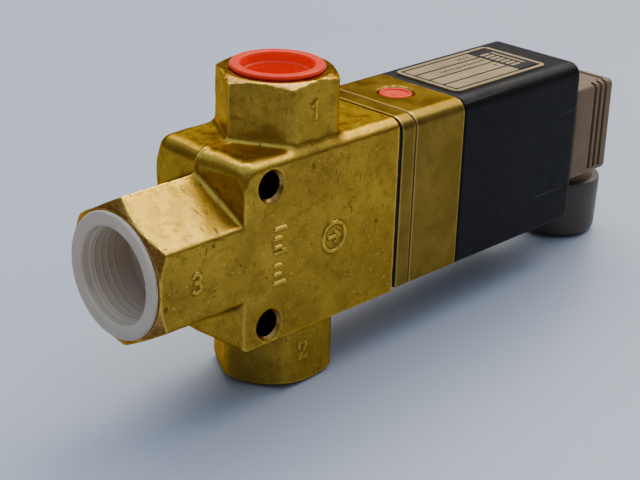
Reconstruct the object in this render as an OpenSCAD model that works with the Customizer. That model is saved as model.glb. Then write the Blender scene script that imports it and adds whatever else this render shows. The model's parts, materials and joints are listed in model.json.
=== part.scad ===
// Servo-assisted 3/2-way solenoid valve with a forged brass body.
// Frame: the origin is the centre of the A/B port's mouth, +Z runs up through the P port,
// and +X runs from the R port towards the coil. Millimetres.

/* [Ports] */
// Width across flats of the P and A/B hexagons
small_hex_af = 27; // [26.5:0.1:28]
// Width across flats of the R hexagon
large_hex_af = 32; // [31:0.5:32]
// Tapping radius of the G1/2 threads in P and A/B
half_inch_r = 9.5; // [9.35:0.05:9.6]
// Tapping radius of the G3/4 thread in R
three_quarter_r = 12.25; // [12.1:0.05:12.4]
// Tapping radius of the G1/8 pilot port
eighth_r = 4.4; // [4.3:0.05:4.5]
// Height of the R port's axis above the A/B port's mouth
axis_h = 38.5; // [37:0.5:40]
// Height of the P port's mouth above the R port's axis
p_reach = 39; // [38:0.5:41]
// Distance of the R port's mouth in front of the vertical port axis
r_reach = 49; // [48:0.5:52]
// Depth of the G1/2 threads
thread_depth = 16; // [15:0.5:16]

/* [Body] */
// Width of the body, plates and coil
body_w = 32; // [32:0.5:34]
// Top of the body above the R port's axis
body_top = 23.9; // [23.5:0.1:25]
// Underside of the body below the R port's axis
body_low = 22.3; // [22.2:0.1:23]
// Front face of the body block
body_front = 25; // [24:0.5:26]
// Rear face of the body block
body_rear = 27; // [26.5:0.5:27]
// Radius of the long top edges
top_edge_r = 3.7; // [2:0.1:4]
// Underside of the plates and the coil below the R port's axis
plate_low = 21.6; // [21:0.1:22]
// Radius of the two cross holes for mounting screws
mount_hole_r = 3.3; // [3:0.1:3.4]
// Distance between the two mounting holes
mount_spacing = 35; // [35:0.5:36]
// Distance of the mounting holes in front of the vertical port axis
mount_x = 16; // [15.5:0.5:17]

/* [Stack] */
// Thickness of the black body gasket
body_gasket_t = 0.9; // [0.5:0.1:1]
// Thickness of the brass intermediate plate
mid_plate_t = 4.6; // [4:0.1:5]
// Thickness of the fibre plate gasket
plate_gasket_t = 0.5; // [0.3:0.1:0.6]
// Thickness of the pilot block
pilot_block_t = 18.3; // [18:0.1:19]
// Length of the coil housing
coil_len = 49.5; // [49:0.5:52]

/* [Main valve] */
// Travel of the spindle
spindle_travel = 4; // [3:0.1:4]
// Radius of the spindle
spindle_r = 3; // [2.8:0.1:3.2]
// Radius of the servo piston's bore
piston_bore_r = 13; // [12.8:0.1:13]
// Radius of the valve disc
disc_r = 8; // [7.5:0.1:8.5]
// Running clearance of guided pieces on the radius
run_gap = 0.05; // [0.02:0.01:0.1]

/* [Pilot] */
// Travel of the armature
armature_travel = 1.5; // [1:0.1:1.5]
// Radius of the armature
armature_r = 6.2; // [6:0.05:6.25]
// Outer radius of the armature tube
tube_r = 7; // [6.9:0.05:7]
// Radius of the copper winding
winding_r = 13.2; // [12:0.1:13.3]

/* [Cable plug] */
// Width of the plug
plug_w = 28; // [27:0.5:28]
// Height of the plug
plug_h = 27.2; // [27:0.1:28]
// Length of the plug housing along X
plug_len = 17.5; // [17:0.5:20]
// Radius of the gland nut
gland_r = 11.6; // [11:0.1:12]
// Underside of the gland nut below the R port's axis
gland_low = 33.6; // [33:0.1:34]

/* [Caps] */
// Radius of the red cap's flange
p_cap_r = 11.5; // [11:0.1:12]
// Radius of the clear cap's flange
r_cap_r = 15.25; // [15:0.05:15.6]

/* [Hidden] */
$fn = 96;

half_w = body_w / 2;
over = 1;
hex_edge_r = 1;

// Stations of the stack along X
mid_plate_x = body_rear + body_gasket_t;
plate_gasket_x = mid_plate_x + mid_plate_t;
pilot_x = plate_gasket_x + plate_gasket_t;
coil_x = pilot_x + pilot_block_t;
coil_end = coil_x + coil_len;
plug_x = coil_end + 2.7;
plug_end = plug_x + plug_len;

// Flow passages
passage_r = 3.9;
passage_x = 5;
seat_r = 6;
a_chamber_r = 9.5;
p_chamber_r = 8;
seat_half = 1;
r_seat_x = -11;
r_passage_r = 11;
r_thread_depth = 18;
bush_x = 9;
spring_x = 13;
mouth_chamfer = 1.1;

// Valve disc and spindle
end_gap = 0.1;
disc_rear = -seat_half - end_gap;
disc_len = -r_seat_x - seat_half - spindle_travel - 2 * end_gap;
disc_front = disc_rear - disc_len;
rubber_t = 1.2;
stud_r = 2.5;
disc_screw_r = 1.5;
piston_x = 21.5;
piston_t = 4;
piston_r = piston_bore_r - 0.3;

// Cap screws through the stack
screw_y = 11.5;
screw_zs = [19.1, -16.8];
screw_r = 2;
screw_head_r = 3.5;
screw_head_h = 4;
screw_clear = 0.2;
screw_tip = 17.1;

// Pilot stage
pilot_port_x = 42.4;
pilot_port_depth = 10;
pilot_chamber_x = 40;
pilot_chamber_r = 7.1;
nozzle_r = 3;
nozzle_x = 34.5;
nozzle_end = 43.8;
flange_x = 45.3;
flange_t = 2;
flange_r = 10;
tube_wall = 0.7;
tube_end = 89.9;
armature_x = 44.3;
armature_end = 70;
core_x = armature_end + armature_travel + end_gap;
core_stud_r = 4;
core_end = 97;
core_nut_t = 4;
core_nut_r = 7.5;
pocket_r = 3;
pocket_x = 64;

// Coil
yoke_x = 51.8;
yoke_end = 92.5;
yoke_t = 2.5;
yoke_w = 13.4;
yoke_h = 16.5;
bobbin_x = 54.5;
bobbin_end = 89.8;
housing_wall = 2.1;
housing_back = 3;

// Nameplate
nameplate_x = 53.7;
nameplate_end = 91.5;
nameplate_half = 11;
nameplate_r = 2;
nameplate_t = 0.5;

// Cable plug
plug_c = 1.6;
plug_wall = 2;
base_half = 11.4;
blade_y = 9;
blade_w = 6.3;
blade_t = 0.8;
blade_x = 98.5;
blade_end = 112;
gland_x = 118.5;
gland_top = -16.5;
stub_r = 7.5;
stub_low = -24;
cable_r = 5;
carrier_end = 117;
plug_edge_r = 1.6;
groove_x = 112;
groove_step = 2.4;
groove_half = 0.35;
groove_deep = 0.5;
plug_screw_r = 1.5;

function arc(cx, cy, r, a0, a1, steps = 12) =
    [for (i = [0:steps]) let (a = a0 + (a1 - a0) * i / steps) [cx + r * cos(a), cy + r * sin(a)]];

// Outline of the body and the plates across X: sharp below, rounded above
function slab_outline(half, low, top, r) = concat([[-half, -low], [half, -low]],
    arc(half - r, top - r, r, 0, 90), arc(r - half, top - r, r, 90, 180));

module on_axis() { translate([0, 0, axis_h]) children(); }

module rod_x(x0, x1, r) { translate([x0, 0, 0]) rotate([0, 90, 0]) cylinder(h = x1 - x0, r = r); }

module ring_x(x0, x1, r_out, r_in) {
    difference() {
        rod_x(x0, x1, r_out);
        rod_x(x0 - over, x1 + over, r_in);
    }
}

module rod_z(z0, z1, r) { translate([0, 0, z0]) cylinder(h = z1 - z0, r = r); }

module cone_x(x0, x1, r0, r1) {
    translate([x0, 0, 0]) rotate([0, 90, 0]) cylinder(h = x1 - x0, r1 = r0, r2 = r1);
}

// A box between two corners
module span(low, high) { translate(low) cube(high - low); }

// A slab along X with the body's outline
module slab(x0, x1, half = half_w, low = plate_low, top = body_top, r = top_edge_r) {
    translate([x0, 0, 0]) rotate([90, 0, 90])
        linear_extrude(x1 - x0) polygon(slab_outline(half, low, top, r));
}

// Hexagon with rounded edges along Z and a chamfered far end, flats facing Y
module hex_boss(af, length, chamfer_at) {
    corner_r = af / sqrt(3);
    rounded_r = corner_r - hex_edge_r * (2 / sqrt(3) - 1);
    nose_r = af / 2 - 0.4;
    intersection() {
        cylinder(h = length, r = corner_r, $fn = 6);
        cylinder(h = length, r = rounded_r);
        union() {
            cylinder(h = chamfer_at, r = corner_r + over);
            translate([0, 0, chamfer_at])
                cylinder(h = length - chamfer_at, r1 = corner_r + 0.1, r2 = nose_r);
        }
    }
}

// A helical spring along X, swept as one closed tube
module spring_x(x0, x1, mid_r, wire_r, turns, sides = 8, per_turn = 20) {
    steps = ceil(turns * per_turn);
    span_x = x1 - x0 - 2 * wire_r;
    points = [for (i = [0:steps]) let (t = i / steps, a = 360 * turns * t) for (j = [0:sides - 1])
        let (b = 360 * j / sides, r = mid_r + wire_r * cos(b))
        [x0 + wire_r + span_x * t + wire_r * sin(b) * 0.98, r * cos(a), r * sin(a)]];
    walls = [for (i = [0:steps - 1]) for (j = [0:sides - 1]) let (k = (j + 1) % sides)
        [i * sides + j, (i + 1) * sides + j, (i + 1) * sides + k, i * sides + k]];
    caps = [[for (j = [0:sides - 1]) j], [for (j = [sides - 1:-1:0]) steps * sides + j]];
    polyhedron(points, concat(walls, caps));
}

module screw_places() { for (y = [-screw_y, screw_y]) for (z = screw_zs) translate([0, y, z]) children(); }

module valve_body() {
    color([0.72, 0.56, 0.22]) difference() {
        on_axis() union() {
            intersection() {
                slab(-body_front, body_rear, low = body_low);
                translate([0, half_w + over, 0]) rotate([90, 0, 0]) linear_extrude(body_w + 2 * over)
                    polygon(concat([[body_rear, -body_low], [body_rear, body_top]],
                        arc(top_edge_r - body_front, body_top - top_edge_r, top_edge_r, 90, 180),
                        [[-body_front, -body_low]]));
            }
            rotate([0, -90, 0]) hex_boss(large_hex_af, r_reach, r_reach - 2.3);
            hex_boss_vertical(p_reach, 1.3);
            mirror([0, 0, 1]) hex_boss_vertical(axis_h, 1.5);
        }
        translate([0, 0, axis_h + p_reach - thread_depth]) cylinder(h = thread_depth + over, r = half_inch_r);
        translate([0, 0, -over]) cylinder(h = thread_depth + over, r = half_inch_r);
        translate([0, 0, axis_h + p_reach - mouth_chamfer])
            cylinder(h = mouth_chamfer + 0.02, r1 = half_inch_r, r2 = half_inch_r + mouth_chamfer);
        translate([passage_x, 0, axis_h]) cylinder(h = p_reach - thread_depth + over, r = passage_r);
        translate([-passage_x, 0, thread_depth - over]) cylinder(h = axis_h - thread_depth, r = passage_r);
        on_axis() {
            rod_x(-r_reach - over, r_thread_depth - r_reach, three_quarter_r);
            cone_x(-r_reach - 0.02, mouth_chamfer - r_reach, three_quarter_r + mouth_chamfer, three_quarter_r);
            rod_x(-r_reach, r_seat_x, r_passage_r);
            rod_x(r_seat_x - over, -seat_half, a_chamber_r);
            rod_x(r_seat_x, spring_x, seat_r);
            rod_x(seat_half, spring_x + over, p_chamber_r);
            rod_x(spring_x, body_rear + over, piston_bore_r);
            for (z = [-mount_spacing / 2, mount_spacing / 2]) translate([-mount_x, 0, z]) {
                rotate([90, 0, 0]) cylinder(h = body_w + 2 * over, r = mount_hole_r, center = true);
            }
            screw_places() rod_x(screw_tip - 2, body_rear + over, screw_r + run_gap);
        }
    }
}

module hex_boss_vertical(reach, chamfer) { hex_boss(small_hex_af, reach, reach - chamfer); }

module exhaust_seat() {
    color([0.80, 0.64, 0.30]) on_axis() difference() {
        rod_x(r_seat_x - 6, r_seat_x, r_passage_r - 0.02);
        rod_x(r_seat_x - 7, r_seat_x + over, seat_r + 0.5);
        for (s = [-1, 1]) translate([r_seat_x - 6, s * 9, 0]) rod_x(-over, 2, 1.2);
    }
}

module spindle() {
    color([0.75, 0.76, 0.78]) on_axis() difference() {
        union() {
            rod_x(disc_front, disc_rear - rubber_t, stud_r);
            rod_x(disc_rear - rubber_t, piston_x, spindle_r);
            rod_x(piston_x, piston_x + piston_t - 0.3, 2);
        }
        rod_x(disc_front - over, disc_front + 8.2, disc_screw_r + run_gap);
    }
}

module disc_holder() {
    color([0.78, 0.62, 0.28]) on_axis() difference() {
        rod_x(disc_front + rubber_t, disc_rear - rubber_t, disc_r);
        rod_x(disc_front, disc_rear, stud_r + 0.02);
    }
}

module disc_seal_r() {
    color([0.10, 0.10, 0.10]) on_axis()
        ring_x(disc_front, disc_front + rubber_t, disc_r - 0.2, stud_r + 0.05);
}

module disc_seal_p() {
    color([0.10, 0.10, 0.10]) on_axis()
        ring_x(disc_rear - rubber_t, disc_rear, disc_r - 0.2, spindle_r + 0.05);
}

module disc_screw() {
    color([0.75, 0.76, 0.78]) on_axis() difference() {
        union() {
            rod_x(disc_front - 2.5, disc_front, 3.6);
            rod_x(disc_front - over, disc_front + 8, disc_screw_r);
        }
        translate([disc_front - 2.6, 0, 0]) rotate([0, 90, 0]) cylinder(h = 1.4, r = 1.4, $fn = 6);
    }
}

module guide_bush() {
    color([0.80, 0.64, 0.30]) on_axis() difference() {
        rod_x(bush_x, spring_x, p_chamber_r - 0.02);
        rod_x(bush_x - over, spring_x + over, spindle_r + run_gap);
        rod_x(bush_x + 1.2, bush_x + 2.8, 4.6);
    }
}

module spindle_o_ring() {
    color([0.08, 0.08, 0.08]) on_axis() translate([bush_x + 2, 0, 0]) rotate([0, 90, 0])
        rotate_extrude() translate([3.82, 0]) circle(r = 0.7, $fn = 24);
}

module return_spring() {
    color([0.70, 0.71, 0.73]) on_axis() spring_x(spring_x + 0.05, piston_x - 0.05, 7.8, 0.55, 3.25);
}

module piston() {
    color([0.80, 0.64, 0.30]) on_axis() difference() {
        rod_x(piston_x, piston_x + piston_t, piston_r);
        rod_x(piston_x - over, piston_x + piston_t + over, 2.05);
        rod_x(piston_x + 1.6, piston_x + piston_t + over, 5);
        ring_x(piston_x + 1, piston_x + 3, piston_r + over, piston_r - 1.8);
    }
}

module piston_seal() {
    color([0.10, 0.10, 0.10]) on_axis()
        ring_x(piston_x + 1.05, piston_x + 2.95, piston_bore_r - run_gap, piston_r - 1.75);
}

module piston_nut() {
    color([0.75, 0.76, 0.78]) on_axis() difference() {
        translate([piston_x + 1.65, 0, 0]) rotate([0, 90, 0]) cylinder(h = 2.1, r = 4.04, $fn = 6);
        rod_x(piston_x, piston_x + piston_t + over, 2.05);
    }
}

module body_gasket() {
    color([0.06, 0.06, 0.06]) on_axis() difference() {
        slab(body_rear, mid_plate_x, half = half_w - 0.5, low = plate_low - 0.4, top = body_top - 0.5);
        rod_x(body_rear - over, mid_plate_x + over, piston_bore_r - 1);
        screw_places() rod_x(body_rear - over, mid_plate_x + over, screw_r + screw_clear);
    }
}

module mid_plate() {
    color([0.74, 0.58, 0.24]) on_axis() difference() {
        slab(mid_plate_x, plate_gasket_x);
        rod_x(mid_plate_x - over, plate_gasket_x + over, 1.5);
        screw_places() rod_x(mid_plate_x - over, plate_gasket_x + over, screw_r + screw_clear);
    }
}

module plate_gasket() {
    color([0.36, 0.22, 0.12]) on_axis() difference() {
        slab(plate_gasket_x, pilot_x, half = half_w - 0.3, low = plate_low - 0.3, top = body_top - 0.3);
        rod_x(plate_gasket_x - over, pilot_x + over, 2);
        screw_places() rod_x(plate_gasket_x - over, pilot_x + over, screw_r + screw_clear);
    }
}

module pilot_block() {
    color([0.74, 0.58, 0.24]) on_axis() difference() {
        slab(pilot_x, coil_x);
        rod_x(pilot_x - over, pilot_chamber_x, nozzle_r + 0.02);
        rod_x(pilot_chamber_x, flange_x + over, pilot_chamber_r);
        rod_x(flange_x, coil_x + over, flange_r + 0.05);
        ring_x(flange_x - 1.4, flange_x + over, 9.4, 7.8);
        translate([pilot_port_x, 0, 0]) {
            rod_z(0, body_top - over, 1.6);
            rod_z(body_top - pilot_port_depth, body_top + over, eighth_r);
            translate([0, 0, body_top - 0.6]) cylinder(h = 0.62, r1 = eighth_r, r2 = eighth_r + 0.6);
        }
        screw_places() {
            rod_x(pilot_x - over, coil_x + over, screw_r + screw_clear);
            rod_x(coil_x - screw_head_h - 0.2, coil_x + over, screw_head_r + screw_clear);
        }
    }
}

module pilot_nozzle() {
    color([0.85, 0.70, 0.36]) on_axis() difference() {
        union() {
            rod_x(nozzle_x, nozzle_end - 0.8, nozzle_r);
            cone_x(nozzle_end - 0.8, nozzle_end, nozzle_r, 1.4);
        }
        rod_x(nozzle_x - over, nozzle_end + over, 0.6);
    }
}

module tube_o_ring() {
    color([0.08, 0.08, 0.08]) on_axis() translate([flange_x - 0.7, 0, 0]) rotate([0, 90, 0])
        rotate_extrude() translate([8.6, 0]) circle(r = 0.68, $fn = 24);
}

module armature_tube() {
    color([0.78, 0.79, 0.80]) on_axis() difference() {
        union() {
            rod_x(flange_x, flange_x + flange_t, flange_r);
            rod_x(flange_x, tube_end, tube_r);
        }
        rod_x(flange_x - over, tube_end + over, tube_r - tube_wall);
    }
}

module tube_ring_nut() {
    color([0.80, 0.64, 0.30]) on_axis() difference() {
        rod_x(flange_x + flange_t, coil_x, flange_r);
        rod_x(flange_x, coil_x + over, tube_r + 0.1);
        for (s = [-1, 1]) translate([coil_x - 2, s * 8.5, 0]) rod_x(0, 2 + over, 0.9);
    }
}

module armature() {
    color([0.62, 0.63, 0.65]) on_axis() difference() {
        rod_x(armature_x, armature_end, armature_r);
        rod_x(armature_x - over, armature_x + 1, 2.55);
        rod_x(pocket_x, armature_end + over, pocket_r);
        for (s = [0, 180]) rotate([s, 0, 0])
            span([armature_x - over, -0.8, armature_r - 0.8], [armature_end + over, 0.8, armature_r + over]);
    }
}

module armature_seal() {
    color([0.10, 0.10, 0.10]) on_axis() rod_x(nozzle_end + end_gap, armature_x + 1, 2.5);
}

module armature_spring() {
    color([0.70, 0.71, 0.73]) on_axis() spring_x(pocket_x + 0.05, core_x - 0.05, 2.1, 0.3, 6.25, 6, 16);
}

module fixed_core() {
    color([0.66, 0.67, 0.69]) on_axis() difference() {
        union() {
            rod_x(core_x, tube_end, tube_r - tube_wall - 0.02);
            rod_x(tube_end, core_end, core_stud_r);
        }
        ring_x(core_x - over, core_x + 1.6, 5.2, 3.9);
    }
}

module shading_ring() {
    color([0.72, 0.40, 0.22]) on_axis() ring_x(core_x + 0.02, core_x + 1.55, 5.15, 3.95);
}

module core_nut() {
    color([0.75, 0.76, 0.78]) on_axis() difference() {
        translate([yoke_end, 0, 0]) rotate([0, 90, 0]) cylinder(h = core_nut_t, r = core_nut_r, $fn = 6);
        rod_x(yoke_end - over, yoke_end + core_nut_t + over, core_stud_r + run_gap);
    }
}

module bobbin() {
    color([0.85, 0.84, 0.78]) on_axis() difference() {
        union() {
            rod_x(bobbin_x, bobbin_end, 8);
            for (x = [bobbin_x, bobbin_end - 1.2]) rod_x(x, x + 1.2, yoke_w);
        }
        rod_x(bobbin_x - over, bobbin_end + over, tube_r + 0.15);
    }
}

module winding() {
    color([0.72, 0.40, 0.22]) on_axis() ring_x(bobbin_x + 1.2, bobbin_end - 1.2, winding_r, 8.02);
}

module yoke() {
    color([0.55, 0.56, 0.58]) on_axis() difference() {
        span([yoke_x, -yoke_w, -yoke_h], [yoke_end, yoke_w, yoke_h]);
        span([yoke_x + yoke_t, -yoke_w - over, yoke_t - yoke_h],
            [yoke_end - yoke_t, yoke_w + over, yoke_h - yoke_t]);
        rod_x(yoke_x - over, yoke_x + 10, tube_r + 0.1);
        rod_x(yoke_end - 10, yoke_end + over, core_stud_r + run_gap);
    }
}

module coil_housing() {
    inner = half_w - housing_wall;
    color([0.09, 0.09, 0.10]) on_axis() difference() {
        slab(coil_x, coil_end);
        slab(coil_x - over, coil_end - housing_back, half = inner, low = plate_low - housing_wall,
            top = body_top - housing_wall, r = 1.6);
        translate([0, 0, plug_c]) span([coil_x, -base_half - 0.1, -base_half - 0.1],
            [coil_end + over, base_half + 0.1, base_half + 0.1]);
    }
}

module nameplate() {
    mid = (nameplate_x + nameplate_end) / 2;
    color([0.72, 0.70, 0.62]) on_axis() translate([mid, 0, body_top]) linear_extrude(nameplate_t)
        polygon(rounded_box(nameplate_end - mid, nameplate_half, nameplate_r));
}

module body_screws() {
    head_x = coil_x - screw_head_h - 0.2;
    color([0.60, 0.61, 0.63]) on_axis() screw_places() difference() {
        union() {
            rod_x(screw_tip, head_x, screw_r);
            rod_x(head_x, head_x + screw_head_h, screw_head_r);
        }
        translate([head_x + 2, 0, 0]) rotate([0, 90, 0]) cylinder(h = 3, r = 1.73, $fn = 6);
    }
}

module terminal_base() {
    color([0.14, 0.14, 0.15]) on_axis() translate([0, 0, plug_c]) difference() {
        span([coil_end - housing_back, -base_half, -base_half], [plug_x - 0.3, base_half, base_half]);
        rod_x(coil_end - 1, plug_x + over, plug_screw_r + run_gap);
        blade_slots(0.02, blade_x, plug_x + over);
    }
}

// The two line blades and the earth blade, or the slots for them
module blade_slots(gap, x0, x1) {
    for (s = [-1, 1]) translate([0, s * blade_y, 0])
        span([x0, -blade_t / 2 - gap, -blade_w / 2 - gap], [x1, blade_t / 2 + gap, blade_w / 2 + gap]);
    translate([0, 0, -blade_y])
        span([x0, -blade_w / 2 - gap, -blade_t / 2 - gap], [x1, blade_w / 2 + gap, blade_t / 2 + gap]);
}

module terminal_blades() {
    color([0.78, 0.79, 0.80]) on_axis() translate([0, 0, plug_c]) blade_slots(0, blade_x, blade_end);
}

module plug_gasket() {
    color([0.86, 0.82, 0.66]) on_axis() translate([0, 0, plug_c]) difference() {
        span([coil_end, -plug_w / 2 - 0.2, -plug_h / 2 - 0.2], [plug_x, plug_w / 2 + 0.2, plug_h / 2 + 0.2]);
        span([coil_end - over, -base_half - 0.3, -base_half - 0.3],
            [plug_x + over, base_half + 0.3, base_half + 0.3]);
    }
}

module plug_housing() {
    half_y = plug_w / 2;
    half_z = plug_h / 2;
    low = plug_c - half_z;
    color([0.45, 0.41, 0.36]) on_axis() difference() {
        union() {
            translate([0, 0, plug_c]) intersection() {
                translate([plug_x, 0, 0]) rotate([90, 0, 90]) linear_extrude(plug_len)
                    polygon(rounded_box(half_y, half_z, plug_edge_r));
                translate([0, half_y + over, 0]) rotate([90, 0, 0]) linear_extrude(plug_w + 2 * over)
                    polygon(concat([[plug_x, half_z], [plug_x, -half_z]],
                        arc(plug_end - plug_edge_r, plug_edge_r - half_z, plug_edge_r, -90, 0, 6),
                        arc(plug_end - plug_edge_r, half_z - plug_edge_r, plug_edge_r, 0, 90, 6)));
            }
            translate([gland_x, 0, 0]) rotate_extrude() polygon([[0, stub_low], [stub_r, stub_low],
                [stub_r, gland_top], [9.4, gland_top], [9.4, -14.5], [8, -12.6], [6, low], [0, low]]);
            translate([gland_x - 3.5, 0, 0]) rod_z(-15, low + over, 7);
        }
        translate([0, 0, plug_c]) span([plug_x - over, plug_wall - half_y, plug_wall - half_z],
            [plug_end - plug_wall, half_y - plug_wall, half_z - plug_wall]);
        translate([gland_x, 0, 0]) rod_z(stub_low - over, -15, cable_r);
        translate([gland_x - 3.5, 0, 0]) rod_z(-16, low + plug_wall + over, 4);
        translate([0, 0, plug_c]) {
            rod_x(plug_end - 3, plug_end + over, plug_screw_r + 0.2);
            rod_x(plug_end - 1.2, plug_end + over, 3.2);
        }
        for (i = [0:2]) for (s = [-1, 1]) translate([groove_x + groove_step * i, s * half_y, plug_c])
            span([-groove_half, -groove_deep, 1.8 - half_z], [groove_half, groove_deep, half_z + over]);
    }
}

function rounded_box(half_y, half_z, r) = concat(arc(half_y - r, half_z - r, r, 0, 90, 6),
    arc(r - half_y, half_z - r, r, 90, 180, 6), arc(r - half_y, r - half_z, r, 180, 270, 6),
    arc(half_y - r, r - half_z, r, 270, 360, 6));

module contact_carrier() {
    half_y = plug_w / 2 - plug_wall - 0.1;
    half_z = plug_h / 2 - plug_wall - 0.1;
    color([0.16, 0.16, 0.17]) on_axis() translate([0, 0, plug_c]) difference() {
        span([plug_x + 0.1, -half_y, -half_z], [carrier_end, half_y, half_z]);
        rod_x(plug_x - over, carrier_end + over, plug_screw_r + 0.2);
        blade_slots(0.3, plug_x - over, blade_end + 0.5);
        translate([gland_x - 3.5, 0, -half_z]) rod_z(-over, 3, 4);
        terminal_screw_places() rod_x(carrier_end - 4, carrier_end + over, 1.3);
    }
}

module terminal_screw_places() {
    for (p = [[-blade_y, 0], [blade_y, 0], [0, 8]]) translate([0, p[0], p[1]]) children();
}

module terminal_screws() {
    color([0.75, 0.76, 0.78]) on_axis() translate([0, 0, plug_c]) terminal_screw_places() {
        rod_x(carrier_end - 3.9, carrier_end, 1.25);
        rod_x(carrier_end, carrier_end + 1.5, 2.2);
    }
}

module plug_screw() {
    head_x = plug_end - 1.2;
    color([0.75, 0.76, 0.78]) on_axis() translate([0, 0, plug_c]) difference() {
        union() {
            rod_x(coil_end + 0.2, head_x, plug_screw_r);
            rod_x(head_x, head_x + 2, 2.9);
        }
        span([head_x + 1.2, -0.4, -3], [head_x + 3, 0.4, 3]);
    }
}

module gland_nut() {
    round_r = 2;
    color([0.30, 0.27, 0.24]) on_axis() translate([gland_x, 0, 0]) rotate_extrude()
        polygon(concat([[stub_r + 0.15, gland_top - 0.1], [gland_r, gland_top - 0.1]],
            arc(gland_r - 0.3 - round_r, round_r - gland_low, round_r, 0, -90, 8),
            [[cable_r, -gland_low], [cable_r, -29.5], [stub_r + 0.15, -29.5]]));
}

module gland_seal() {
    color([0.12, 0.12, 0.12]) on_axis() translate([gland_x, 0, 0]) difference() {
        rod_z(-28.6, stub_low - 0.1, stub_r);
        rod_z(-29, stub_low, 4.2);
    }
}

module gland_washer() {
    color([0.75, 0.76, 0.78]) on_axis() translate([gland_x, 0, 0]) difference() {
        rod_z(-29.45, -28.65, stub_r);
        rod_z(-30, -28, 4.6);
    }
}

module p_cap() {
    cup_r = half_inch_r - 0.15;
    color([0.95, 0.16, 0.08]) translate([0, 0, axis_h + p_reach]) rotate_extrude()
        polygon([[0, -12], [cup_r - 0.6, -12], [cup_r - 0.1, -11.4], [cup_r, -0.1], [cup_r, 0],
            [p_cap_r, 0], [p_cap_r, 0.7], [p_cap_r - 0.4, 1.1], [9.3, 1.1], [9.0, 0.8],
            [8.9, -1.5], [8.3, -1.7], [8.1, -11], [0, -11]]);
}

module r_cap() {
    cup_r = three_quarter_r - 0.15;
    color([0.90, 0.91, 0.92, 0.7]) translate([-r_reach, 0, axis_h]) rotate([0, -90, 0]) rotate_extrude()
        polygon([[0, -14], [cup_r - 0.6, -14], [cup_r - 0.1, -13.4], [cup_r, 0],
            [r_cap_r, 0], [r_cap_r, 0.7], [r_cap_r - 0.4, 1.1], [12.1, 1.1], [11.8, 0.7],
            [11.3, -13], [0, -13]]);
}

module pilot_plug() {
    cup_r = eighth_r - 0.12;
    color([0.90, 0.14, 0.08]) translate([pilot_port_x, 0, axis_h + body_top]) rotate_extrude()
        polygon([[0, -8], [cup_r - 0.4, -8], [cup_r, -7.5], [cup_r, -0.3], [cup_r - 0.3, 0],
            [3.4, 0], [3.1, -0.5], [0, -0.7]]);
}

valve_body();
exhaust_seat();
spindle();
disc_holder();
disc_seal_r();
disc_seal_p();
disc_screw();
guide_bush();
spindle_o_ring();
return_spring();
piston();
piston_seal();
piston_nut();
body_gasket();
mid_plate();
plate_gasket();
pilot_block();
pilot_nozzle();
tube_o_ring();
armature_tube();
tube_ring_nut();
armature();
armature_seal();
armature_spring();
fixed_core();
shading_ring();
core_nut();
bobbin();
winding();
yoke();
coil_housing();
nameplate();
body_screws();
terminal_base();
terminal_blades();
plug_gasket();
plug_housing();
contact_carrier();
terminal_screws();
plug_screw();
gland_nut();
gland_seal();
gland_washer();
p_cap();
r_cap();
pilot_plug();
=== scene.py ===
"""Solenoid valve: the looks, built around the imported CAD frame. Blender works in metres; the
implicit shapes below are written in millimetres and scaled when their mesh is made."""
import json
import math

import bmesh
import bpy
import numpy as np
from mathutils import Matrix, Vector


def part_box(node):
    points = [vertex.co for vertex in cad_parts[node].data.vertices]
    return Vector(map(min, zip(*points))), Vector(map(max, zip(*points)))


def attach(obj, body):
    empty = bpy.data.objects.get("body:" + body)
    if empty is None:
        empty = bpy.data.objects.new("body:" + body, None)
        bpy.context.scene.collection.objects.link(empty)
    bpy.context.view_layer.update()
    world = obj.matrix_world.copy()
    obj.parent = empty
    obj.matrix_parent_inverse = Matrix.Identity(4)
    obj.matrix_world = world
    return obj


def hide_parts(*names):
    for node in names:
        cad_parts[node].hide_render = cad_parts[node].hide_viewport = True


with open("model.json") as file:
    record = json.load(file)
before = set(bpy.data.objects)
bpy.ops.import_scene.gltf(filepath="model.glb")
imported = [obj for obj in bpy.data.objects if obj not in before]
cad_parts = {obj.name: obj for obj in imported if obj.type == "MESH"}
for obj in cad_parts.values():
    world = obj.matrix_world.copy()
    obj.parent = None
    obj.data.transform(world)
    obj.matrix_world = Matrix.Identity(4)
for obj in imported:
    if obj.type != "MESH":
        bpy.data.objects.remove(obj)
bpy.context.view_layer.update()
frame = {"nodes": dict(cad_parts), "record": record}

MM = 0.001
RECORD = frame["record"]
NODES = frame["nodes"]
MOUNTS = {mount["name"]: mount for mount in RECORD["mounts"]}
NODE_SLOT = {part["node"]: part["material_slot"] for part in RECORD["subparts"]}
NODE_BODY = {node: body for body, nodes in RECORD["behaviour"]["bodies"].items() for node in nodes}


def box_mm(node):
    """Lowest and highest corner of a CAD node, in millimetres."""
    low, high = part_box(node)
    return np.array(low) / MM, np.array(high) / MM


def mount_mm(name):
    """Place of a mount in millimetres."""
    return np.array(MOUNTS[name]["pos_m"]) / MM


# ---------------------------------------------------------------- sizes, in millimetres

BODY_LOW, BODY_HIGH = box_mm("valve_body")
PLATE_LOW, PLATE_HIGH = box_mm("mid_plate")
BLOCK_LOW, BLOCK_HIGH = box_mm("pilot_block")
COIL_LOW, COIL_HIGH = box_mm("coil_housing")
PLUG_LOW, PLUG_HIGH = box_mm("plug_housing")
GLAND_LOW, GLAND_HIGH = box_mm("gland_nut")
AXIS_Z = mount_mm("port_r")[2]
HALF_W = BODY_HIGH[1]
TOP_Z = PLATE_HIGH[2]
TOP_EDGE_R = 3.7

FRONT_X = -25.2
FRONT_DRAFT = 0.056
BODY_UNDER = AXIS_Z - 22.3
SMALL_HEX = 27.0
LARGE_HEX = 32.0
HEX_EDGE = 1.5
NOSE_INSET = 0.4

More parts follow.
